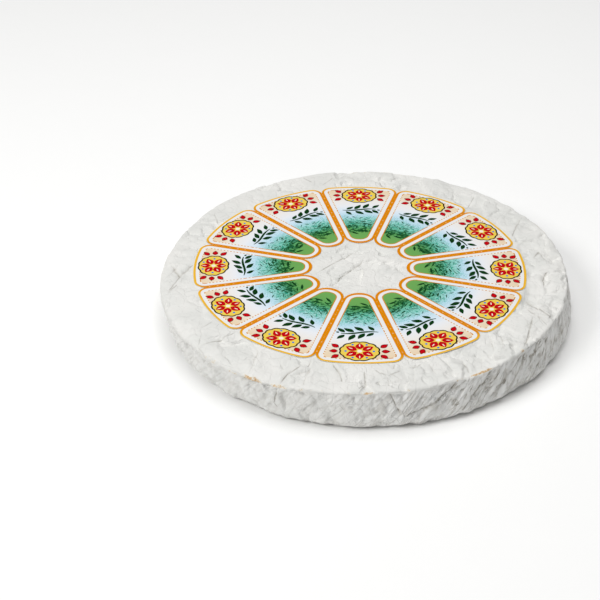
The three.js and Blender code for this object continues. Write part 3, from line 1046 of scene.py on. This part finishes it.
def badgeShapes():
    # a scalloped yellow medallion with a red flower, and red leaves at both sides
    middle, rim = badge["v"], badge["rim"]
    wide, tall = badge["wide"], badge["tall"]
    scallops = (badge["steps"], badge["scallops"], badge["waves"])
    shapes = [
        ("outlineInk", roundShape(0, middle, wide, tall, *scallops), None),
        ("yellowInk", roundShape(0, middle, wide - rim, tall - rim, *scallops), 0),
    ]

    def at(spot, turn):
        cos, sin = wayOf(turn)
        return badge[spot][0] * cos, middle + badge[spot][1] * sin

    turns = [360 / badge["petals"] * k + 30 for k in range(badge["petals"])]
    for turn in turns:
        length, width = badge["petal"]
        length -= badge["petalFlat"] * abs(wayOf(turn)[1])
        shapes.append(("redInk", leafShape(*at("petalFrom", turn), turn, length, width, 0.0, 12), 1))
        between = turn + 180 / badge["petals"]
        shapes.append(("blueInk", roundShape(*at("dotAt", between), 1.0, 1.0, 14), 1))
    for k, turn in enumerate(turns):
        vein = leafShape(*at("veinFrom", turn), turn, *badge["vein"], 0.0, 6)
        shapes.append(("creamInk", vein, 2 + 2 * k))
    shapes.append(("creamInk", roundShape(0, middle, *badge["eye"], 20), 1))
    for way in (-1, 1):
        for turn, length in badge["leaves"]:
            heading = turn if way > 0 else 180 - turn
            u = way * (wide + 2.1 - 0.02 * abs(turn))
            v = middle + 0.13 * turn
            addOutlinedLeaf(shapes, "redInk", u, v, heading, length, badge["leafWide"], 8)
    return shapes


def sprigShapes():
    # a leafy spray in dark green, its leaves in pairs along a swaying stem
    def spine(t):
        return (sprig["half"] * t, sprig["v"] + sprig["sway"] * math.sin(t * 2.4) - 0.6)

    shapes = [("leafInk", strokeShape([spine(k / 14 - 1) for k in range(29)], sprig["stem"]), None)]
    shift = 0.85 + sprig["stem"] / 2
    for k in range(sprig["pairs"]):
        t = -0.84 + 1.56 * k / (sprig["pairs"] - 1)
        u, v = spine(t)
        ahead = spine(t + 0.02)
        heading = math.degrees(math.atan2(ahead[1] - v, ahead[0] - u))
        size = 1 - sprig["taper"] * abs(t) ** 2
        for way in (-1, 1):
            turn = heading + way * sprig["lean"]
            cos, sin = wayOf(turn)
            sizes = (sprig["leaf"] * size, sprig["leafWide"] * size, sprig["bend"] * way)
            leaf = leafShape(u + shift * cos, v + shift * sin, turn, *sizes, 8)
            shapes.append(("leafInk", leaf, None))
    u, v = spine(1.0)
    shapes.append(("leafInk", leafShape(u + 1.3, v - 0.8, -38, 2.8, 2.0, 0.1, 7), None))
    return shapes


def alongShape(points):
    # close places all along a shape's outline
    ends = np.array(points + points[:1], float)
    shares = np.linspace(0, 1, 5)[:4, None, None]
    return (ends[:-1] + (ends[1:] - ends[:-1]) * shares).reshape(-1, 2)


def meadowShapes(standing):
    # curved strokes of grass, thrown at random and kept where they stand clear of everything else
    draw = random.Random(label["seed"])
    halfAngle = math.pi / ring["count"]
    clear = label["lineInset"] + label["lineWidth"]
    shapes = []
    taken = np.concatenate([alongShape(points) for _, points, _ in standing])
    for _ in range(meadow["tries"]):
        v = draw.uniform(meadow["from"], meadow["to"])
        room = v * math.tan(halfAngle) - (clear + 1.1) / math.cos(halfAngle)
        u = draw.uniform(-room, room)
        share = (v - meadow["from"]) / (meadow["to"] - meadow["from"])
        length = draw.uniform(*meadow["length"]) * (1.1 - 0.4 * share)
        turn = draw.choice((0, 180)) + draw.uniform(-meadow["lean"], meadow["lean"])
        wide = draw.uniform(*meadow["wide"]) * (1.15 - 0.5 * share)
        shape = leafShape(u, v, turn, length, wide, draw.uniform(-meadow["bend"], meadow["bend"]), 8)
        ink = draw.choice(meadow["highInks" if share > meadow["highFrom"] else "lowInks"])
        dots = alongShape(shape)
        tipRoom = dots[:, 1] * math.tan(halfAngle) - (clear + 0.8)
        if (np.abs(dots[:, 0]) > tipRoom).any() or (dots[:, 1] < ring["inner"] + 10).any():
            continue
        if np.min(np.hypot(*(taken[:, None] - dots[None]).transpose(2, 0, 1))) < meadow["gap"]:
            continue
        taken = np.concatenate([taken, dots])
        shapes.append((ink, shape, None))
    return shapes


def addLoop(mesh, points, height=0.0):
    corners = [mesh.verts.new((v * mm, -u * mm, height * mm)) for u, v in points]
    return [mesh.edges.new((a, b)) for a, b in zip(corners, corners[1:] + corners[:1])]


def fillLoops(mesh, edges, ink):
    filled = bmesh.ops.triangle_fill(mesh, use_beauty=True, edges=edges, normal=(0, 0, 1))
    for face in filled["geom"]:
        if isinstance(face, bmesh.types.BMFace):
            face.material_index = inkOrder.index(ink)


def fillShapes(mesh, shapes, height, ground=None, groundInk=None):
    # fills each shape with its ink, round the shapes that lie in it
    loops = [addLoop(mesh, points, height) for _, points, _ in shapes]
    inside = {}
    for loop, (_, _, parent) in zip(loops, shapes):
        inside.setdefault(parent, []).extend(loop)
    if ground:
        fillLoops(mesh, ground + inside[None], groundInk)
    for index, (ink, _, _) in enumerate(shapes):
        fillLoops(mesh, loops[index] + inside.get(index, []), ink)


def printedNet():
    # the flat label, its middle line along +X, cut into faces by its print
    mesh = bmesh.new()
    insets = [(0, 0, 0), (label["edgeSide"], label["edgeNarrow"], label["edgeWide"])]
    for inset in (label["lineInset"], label["lineInset"] + label["lineWidth"]):
        insets.append((inset, inset + label["lineNarrow"], inset + label["lineWide"]))
    loops = [addLoop(mesh, labelOutline(*inset)) for inset in insets]
    for outer, inner, ink in zip(loops, loops[1:], ("edgeInk", "whiteInk", "goldInk")):
        bridged = bmesh.ops.bridge_loops(mesh, edges=outer + inner)
        for face in bridged["faces"]:
            face.material_index = inkOrder.index(ink)
            face.tag = ink == "goldInk"
    for face in [f for f in mesh.faces if f.tag]:
        # dashes are counted along the wide arc, or up the sides
        middle = face.calc_center_median() / mm
        reach = math.hypot(middle.x, middle.y)
        turn = math.degrees(math.atan2(middle.y, middle.x))
        around = turn * reach if reach > label["arcFrom"] else middle.x * 60
        if reach > label["dashFrom"] and int(around / 60 / label["dash"] + 1000) % 2:
            face.material_index = inkOrder.index("creamInk")
    spray = sprigShapes()
    fillShapes(mesh, spray + meadowShapes(spray), 0.0, loops[-1], "fieldInk")
    fillShapes(mesh, badgeShapes(), badge["lift"])
    return mesh


def gridCuts(mesh, spacing):
    # even cuts both ways, so that the sheet can bend
    for axis, low, high in ((0, 40, 138), (1, -36, 36)):
        for k in range(int((high - low) / spacing)):
            place = [0.0, 0.0, 0.0]
            place[axis] = (low + spacing * (k + 0.5)) * mm
            normal = [0.0, 0.0, 0.0]
            normal[axis] = 1.0
            geom = mesh.verts[:] + mesh.edges[:] + mesh.faces[:]
            bmesh.ops.bisect_plane(mesh, geom=geom, dist=0.0005 * mm, plane_co=place, plane_no=normal)


def sheetHeight(x, y, number):
    # the gentle waves of a label's paper, in mm
    place = Vector((x, y, 0)) / 0.030
    ripple = noise.noise(place * 2.3 + Vector((number, 0, 3)))
    return label["wave"] * noise.noise(place) + label["ripple"] * ripple


def cornerCurl(flat):
    # how far the wide corners of a label lift, in mm
    sideways = abs(math.atan2(flat.y, flat.x)) / (math.pi / ring["count"])
    return label["curl"] * max(0, sideways - 0.55) / 0.45 * max(0, (flat.x - 105) / 30)


def makeLabels():
    net = printedNet()
    gridCuts(net, label["bendStep"])
    bmesh.ops.recalc_face_normals(net, faces=net.faces)
    if sum(face.normal.z for face in net.faces) < 0:
        bmesh.ops.reverse_faces(net, faces=net.faces)
    materials = makeInks()
    for number in range(ring["count"]):
        node = f"label_{number + 1:02d}"
        sheet = net.copy()
        turn = Matrix.Rotation(2 * math.pi * number / ring["count"] + math.radians(ring["turn"]), 4, "Z")
        move = Matrix.Translation((ring["x"] * mm, ring["y"] * mm, 0)) @ turn
        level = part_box(node)[0].z + label["lift"] * mm
        for corner in sheet.verts:
            place = move @ corner.co
            bend = sheetHeight(place.x, place.y, number) + cornerCurl(corner.co / mm)
            corner.co = Vector((place.x, place.y, level + corner.co.z + bend * mm))
        name = f"printedLabel{number + 1:02d}"
        mesh = bpy.data.meshes.new(name)
        sheet.to_mesh(mesh)
        sheet.free()
        for material in materials:
            mesh.materials.append(material)
        piece = placed(name, mesh)
        body = piece.modifiers.new("paper", "SOLIDIFY")
        body.thickness = label["thickness"] * mm
        body.offset = -1
        body.use_rim = True
        body.material_offset = len(materials)
        body.material_offset_rim = len(materials)
        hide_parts(node)
        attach(piece, "root")
    net.free()


makeLabels()


# Plain pale floor and soft light
print("floor and light")
studio = {
    "floor": "#FEFEFD", "floorSize": 4.0, "floorGrain": (30.0, 3.0, 0.01),
    "floorRoughness": 0.8, "floorSpecular": 0.2, "sky": 0.21,
    "key": 25.8, "keyPlace": (-1.55, -1.02, 1.68), "keySize": 0.9,
    "top": 27.1, "topPlace": (0.1, 0.2, 2.0), "topSize": 1.8,
}


def makeFloor():
    mesh = bpy.data.meshes.new("floor")
    flat = bmesh.new()
    bmesh.ops.create_grid(flat, x_segments=1, y_segments=1, size=studio["floorSize"])
    flat.to_mesh(mesh)
    flat.free()
    material, tree, shader = newMaterial("paleFloor", studio["floorRoughness"], studio["floorSpecular"])
    texture = grain(tree, *studio["floorGrain"])
    colour = mixed(tree, 1.0, studio["floor"], texture.outputs["Shade"], "MULTIPLY")
    tree.links.new(colour, shader.inputs["Base Color"])
    mesh.materials.append(material)
    floor = placed("floor", mesh)


def makeLamp(name, place, size, power):
    # a square lamp that looks at the middle of the wheel's base
    data = bpy.data.lights.new(name, "AREA")
    data.shape = "SQUARE"
    data.size = size
    data.energy = power
    lamp = placed(name, data)
    lamp.matrix_world = Matrix.Translation(place) @ facingTurn(place, (0, 0, 0)).to_matrix().to_4x4()


def makeLight():
    world = bpy.data.worlds.new("softWorld")
    world.use_nodes = True
    sky = world.node_tree.nodes["Background"].inputs
    sky["Strength"].default_value = studio["sky"]
    sky["Color"].default_value = (1, 1, 1, 1)
    bpy.context.scene.world = world
    makeLamp("keyLamp", studio["keyPlace"], studio["keySize"], studio["key"])
    makeLamp("topLamp", studio["topPlace"], studio["topSize"], studio["top"])
    bpy.context.scene.view_settings.view_transform = "Standard"


makeFloor()
makeLight()
